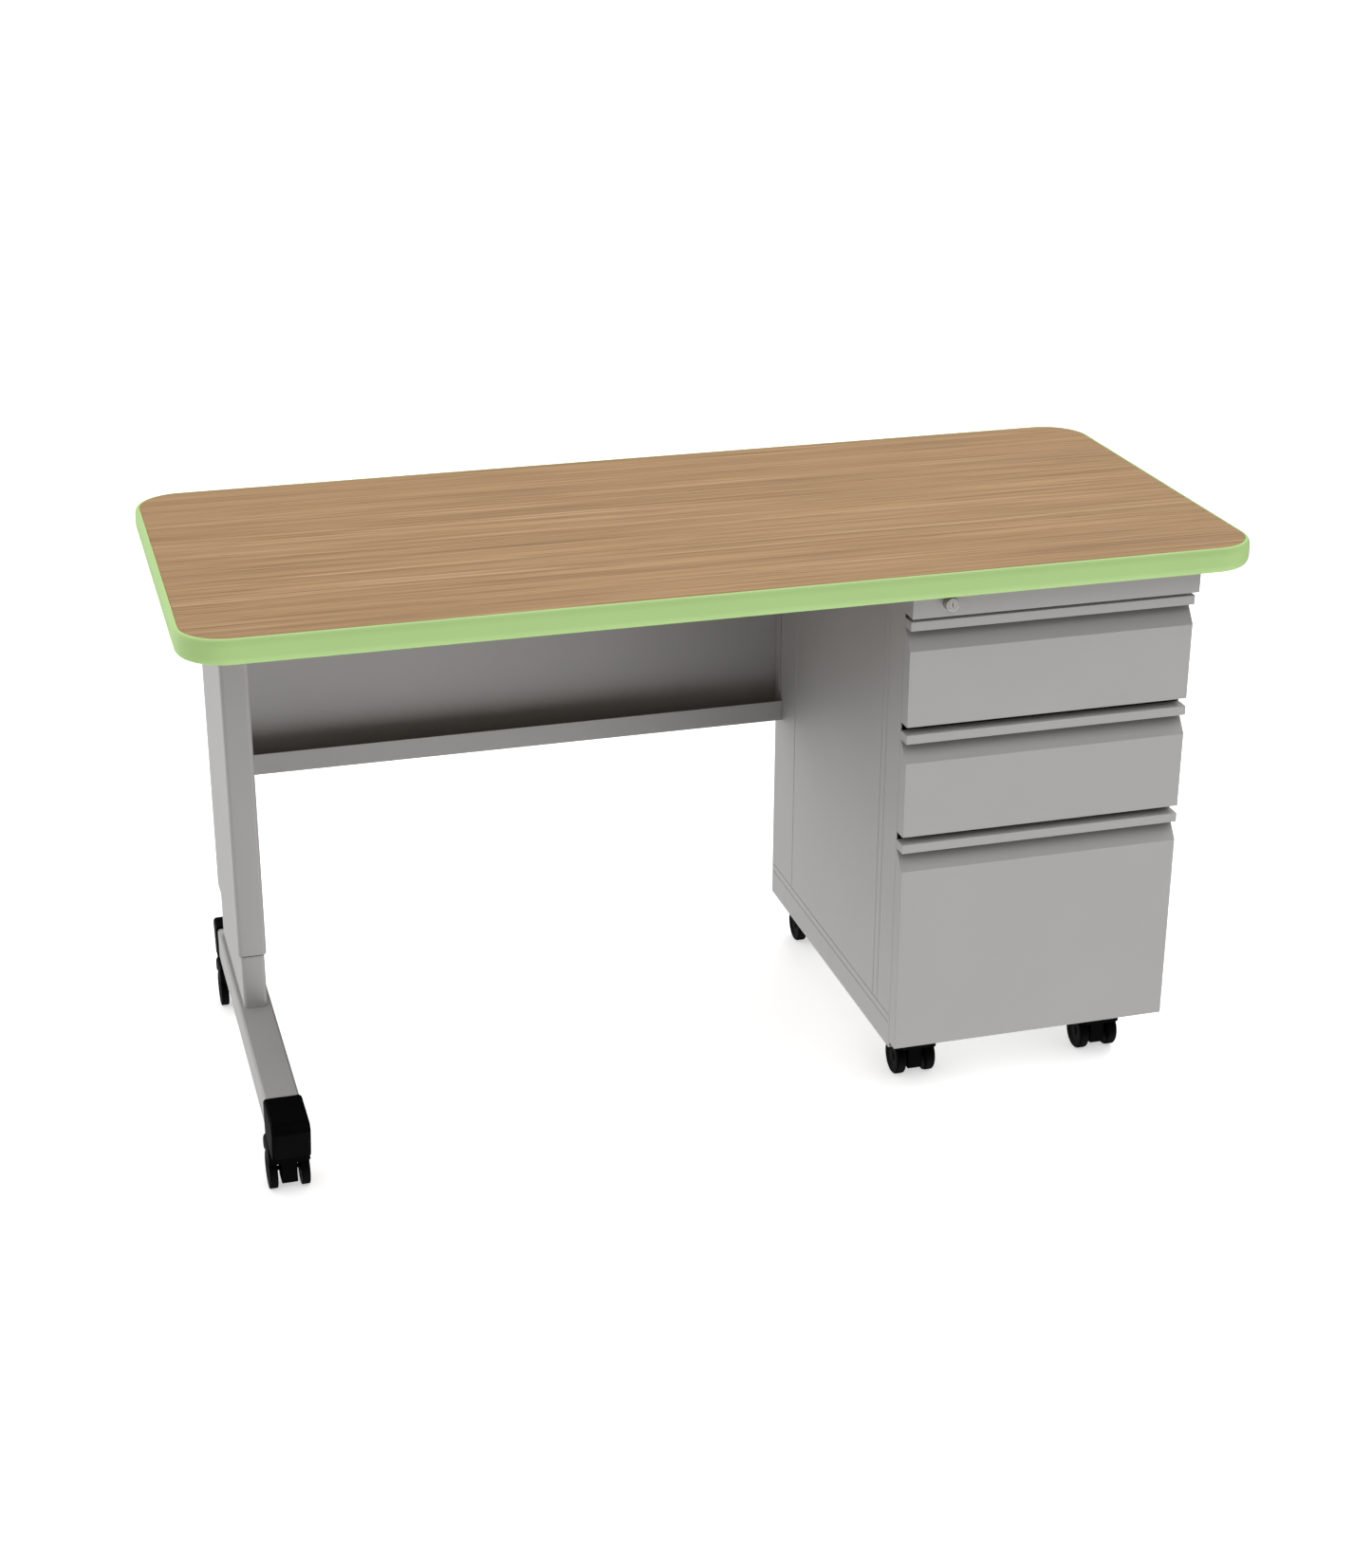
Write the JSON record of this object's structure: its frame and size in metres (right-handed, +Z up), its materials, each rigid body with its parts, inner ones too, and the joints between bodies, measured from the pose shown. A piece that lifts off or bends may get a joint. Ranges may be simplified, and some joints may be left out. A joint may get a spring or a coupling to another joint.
{
  "type": "teacher desk",
  "caption": "Teacher desk with a rounded wood-grain top and green edge, a telescoping T-leg, a drawer pedestal with lock, a modesty panel and twin-wheel casters.",
  "frame": {"origin": "on the floor under the middle of the worktop", "axes": "+X along the desk's length towards the drawer pedestal, +Y away from the user towards the modesty panel, +Z up"},
  "size_m": [1.3716, 0.626, 0.762],
  "materials": {
    "worktop_laminate": "satin wood-grain laminate",
    "board_core": "brown backing sheet on particleboard",
    "edge_band": "satin moulded edge",
    "grey_steel": "fine powder coat",
    "zinc_steel": "zinc plated",
    "lock_metal": "satin nickel",
    "black_plastic": "satin",
    "wheel_rubber": "matte tread"
  },
  "bodies": {
    "desk": {"worktop_board": "board_core", "worktop_laminate": "worktop_laminate", "edge_band": "edge_band", "modesty_panel": "grey_steel", "modesty_bracket_left": "grey_steel", "modesty_bracket_right": "grey_steel", "leg_top_plate": "grey_steel", "leg_sleeve": "grey_steel", "height_lock_screw_lower": "zinc_steel", "height_lock_screw_upper": "zinc_steel", "pedestal_side_left": "grey_steel", "pedestal_side_right": "grey_steel", "pedestal_back": "grey_steel", "pedestal_bottom": "grey_steel", "pedestal_top": "grey_steel", "top_rail": "grey_steel", "slide_rack_left": "zinc_steel", "slide_rack_right": "zinc_steel", "caster_pedestal_front_left_stem": "zinc_steel", "caster_pedestal_front_right_stem": "zinc_steel", "caster_pedestal_rear_left_stem": "zinc_steel", "caster_pedestal_rear_right_stem": "zinc_steel"},
    "leg": {"leg_inner_column": "grey_steel", "foot_bar": "grey_steel", "foot_cap_front": "black_plastic", "foot_cap_rear": "black_plastic", "caster_leg_front_stem": "zinc_steel", "caster_leg_rear_stem": "zinc_steel"},
    "lock": {"lock_barrel": "lock_metal", "lock_cam": "zinc_steel"},
    "drawer_top": {"drawer_front_top": "grey_steel", "drawer_box_top": "grey_steel", "drawer_runner_top_left": "zinc_steel", "drawer_runner_top_right": "zinc_steel"},
    "drawer_middle": {"drawer_front_middle": "grey_steel", "drawer_box_middle": "grey_steel", "drawer_runner_middle_left": "zinc_steel", "drawer_runner_middle_right": "zinc_steel"},
    "drawer_file": {"drawer_front_file": "grey_steel", "drawer_box_file": "grey_steel", "drawer_runner_file_left": "zinc_steel", "drawer_runner_file_right": "zinc_steel"},
    "caster_leg_front": {"caster_leg_front_body": "black_plastic"},
    "caster_leg_front_wheel_left": {"caster_leg_front_wheel_left": "wheel_rubber"},
    "caster_leg_front_wheel_right": {"caster_leg_front_wheel_right": "wheel_rubber"},
    "caster_leg_rear": {"caster_leg_rear_body": "black_plastic"},
    "caster_leg_rear_wheel_left": {"caster_leg_rear_wheel_left": "wheel_rubber"},
    "caster_leg_rear_wheel_right": {"caster_leg_rear_wheel_right": "wheel_rubber"},
    "caster_pedestal_front_left": {"caster_pedestal_front_left_body": "black_plastic"},
    "caster_pedestal_front_left_wheel_left": {"caster_pedestal_front_left_wheel_left": "wheel_rubber"},
    "caster_pedestal_front_left_wheel_right": {"caster_pedestal_front_left_wheel_right": "wheel_rubber"},
    "caster_pedestal_front_right": {"caster_pedestal_front_right_body": "black_plastic"},
    "caster_pedestal_front_right_wheel_left": {"caster_pedestal_front_right_wheel_left": "wheel_rubber"},
    "caster_pedestal_front_right_wheel_right": {"caster_pedestal_front_right_wheel_right": "wheel_rubber"},
    "caster_pedestal_rear_left": {"caster_pedestal_rear_left_body": "black_plastic"},
    "caster_pedestal_rear_left_wheel_left": {"caster_pedestal_rear_left_wheel_left": "wheel_rubber"},
    "caster_pedestal_rear_left_wheel_right": {"caster_pedestal_rear_left_wheel_right": "wheel_rubber"},
    "caster_pedestal_rear_right": {"caster_pedestal_rear_right_body": "black_plastic"},
    "caster_pedestal_rear_right_wheel_left": {"caster_pedestal_rear_right_wheel_left": "wheel_rubber"},
    "caster_pedestal_rear_right_wheel_right": {"caster_pedestal_rear_right_wheel_right": "wheel_rubber"}
  },
  "joints": [
    {"name": "leg_height", "type": "slide", "parent": "desk", "child": "leg", "axis": [0, 0, -1], "range_m": [-0.065, 0.1]},
    {"name": "lock_turn", "type": "hinge", "parent": "desk", "child": "lock", "pos_m": [0.268, -0.2838, 0.714], "axis": [0, -1, 0], "range_deg": [0, 90]},
    {"name": "drawer_top_slide", "type": "slide", "parent": "desk", "child": "drawer_top", "axis": [0, -1, 0], "range_m": [0, 0.36]},
    {"name": "drawer_middle_slide", "type": "slide", "parent": "desk", "child": "drawer_middle", "axis": [0, -1, 0], "range_m": [0, 0.36]},
    {"name": "drawer_file_slide", "type": "slide", "parent": "desk", "child": "drawer_file", "axis": [0, -1, 0], "range_m": [0, 0.4]},
    {"name": "caster_leg_front_swivel", "type": "hinge", "parent": "leg", "child": "caster_leg_front", "pos_m": [-0.5928, -0.2567, 0.06], "axis": [0, 0, 1], "continuous": true},
    {"name": "caster_leg_front_wheel_left_spin", "type": "hinge", "parent": "caster_leg_front", "child": "caster_leg_front_wheel_left", "pos_m": [-0.6133, -0.2467, 0.025], "axis": [1, 0, 0], "continuous": true},
    {"name": "caster_leg_front_wheel_right_spin", "type": "hinge", "parent": "caster_leg_front", "child": "caster_leg_front_wheel_right", "pos_m": [-0.5723, -0.2467, 0.025], "axis": [1, 0, 0], "continuous": true},
    {"name": "caster_leg_rear_swivel", "type": "hinge", "parent": "leg", "child": "caster_leg_rear", "pos_m": [-0.5928, 0.2567, 0.06], "axis": [0, 0, 1], "continuous": true},
    {"name": "caster_leg_rear_wheel_left_spin", "type": "hinge", "parent": "caster_leg_rear", "child": "caster_leg_rear_wheel_left", "pos_m": [-0.6133, 0.2667, 0.025], "axis": [1, 0, 0], "continuous": true},
    {"name": "caster_leg_rear_wheel_right_spin", "type": "hinge", "parent": "caster_leg_rear", "child": "caster_leg_rear_wheel_right", "pos_m": [-0.5723, 0.2667, 0.025], "axis": [1, 0, 0], "continuous": true},
    {"name": "caster_pedestal_front_left_swivel", "type": "hinge", "parent": "desk", "child": "caster_pedestal_front_left", "pos_m": [0.2772, -0.1935, 0.06], "axis": [0, 0, 1], "continuous": true},
    {"name": "caster_pedestal_front_left_wheel_left_spin", "type": "hinge", "parent": "caster_pedestal_front_left", "child": "caster_pedestal_front_left_wheel_left", "pos_m": [0.2562, -0.1835, 0.025], "axis": [1, 0, 0], "continuous": true},
    {"name": "caster_pedestal_front_left_wheel_right_spin", "type": "hinge", "parent": "caster_pedestal_front_left", "child": "caster_pedestal_front_left_wheel_right", "pos_m": [0.2982, -0.1835, 0.025], "axis": [1, 0, 0], "continuous": true},
    {"name": "caster_pedestal_front_right_swivel", "type": "hinge", "parent": "desk", "child": "caster_pedestal_front_right", "pos_m": [0.5492, -0.1935, 0.06], "axis": [0, 0, 1], "continuous": true},
    {"name": "caster_pedestal_front_right_wheel_left_spin", "type": "hinge", "parent": "caster_pedestal_front_right", "child": "caster_pedestal_front_right_wheel_left", "pos_m": [0.5282, -0.1835, 0.025], "axis": [1, 0, 0], "continuous": true},
    {"name": "caster_pedestal_front_right_wheel_right_spin", "type": "hinge", "parent": "caster_pedestal_front_right", "child": "caster_pedestal_front_right_wheel_right", "pos_m": [0.5702, -0.1835, 0.025], "axis": [1, 0, 0], "continuous": true},
    {"name": "caster_pedestal_rear_left_swivel", "type": "hinge", "parent": "desk", "child": "caster_pedestal_rear_left", "pos_m": [0.2772, 0.2315, 0.06], "axis": [0, 0, 1], "continuous": true},
    {"name": "caster_pedestal_rear_left_wheel_left_spin", "type": "hinge", "parent": "caster_pedestal_rear_left", "child": "caster_pedestal_rear_left_wheel_left", "pos_m": [0.2562, 0.2415, 0.025], "axis": [1, 0, 0], "continuous": true},
    {"name": "caster_pedestal_rear_left_wheel_right_spin", "type": "hinge", "parent": "caster_pedestal_rear_left", "child": "caster_pedestal_rear_left_wheel_right", "pos_m": [0.2982, 0.2415, 0.025], "axis": [1, 0, 0], "continuous": true},
    {"name": "caster_pedestal_rear_right_swivel", "type": "hinge", "parent": "desk", "child": "caster_pedestal_rear_right", "pos_m": [0.5492, 0.2315, 0.06], "axis": [0, 0, 1], "continuous": true},
    {"name": "caster_pedestal_rear_right_wheel_left_spin", "type": "hinge", "parent": "caster_pedestal_rear_right", "child": "caster_pedestal_rear_right_wheel_left", "pos_m": [0.5282, 0.2415, 0.025], "axis": [1, 0, 0], "continuous": true},
    {"name": "caster_pedestal_rear_right_wheel_right_spin", "type": "hinge", "parent": "caster_pedestal_rear_right", "child": "caster_pedestal_rear_right_wheel_right", "pos_m": [0.5702, 0.2415, 0.025], "axis": [1, 0, 0], "continuous": true}
  ]
}
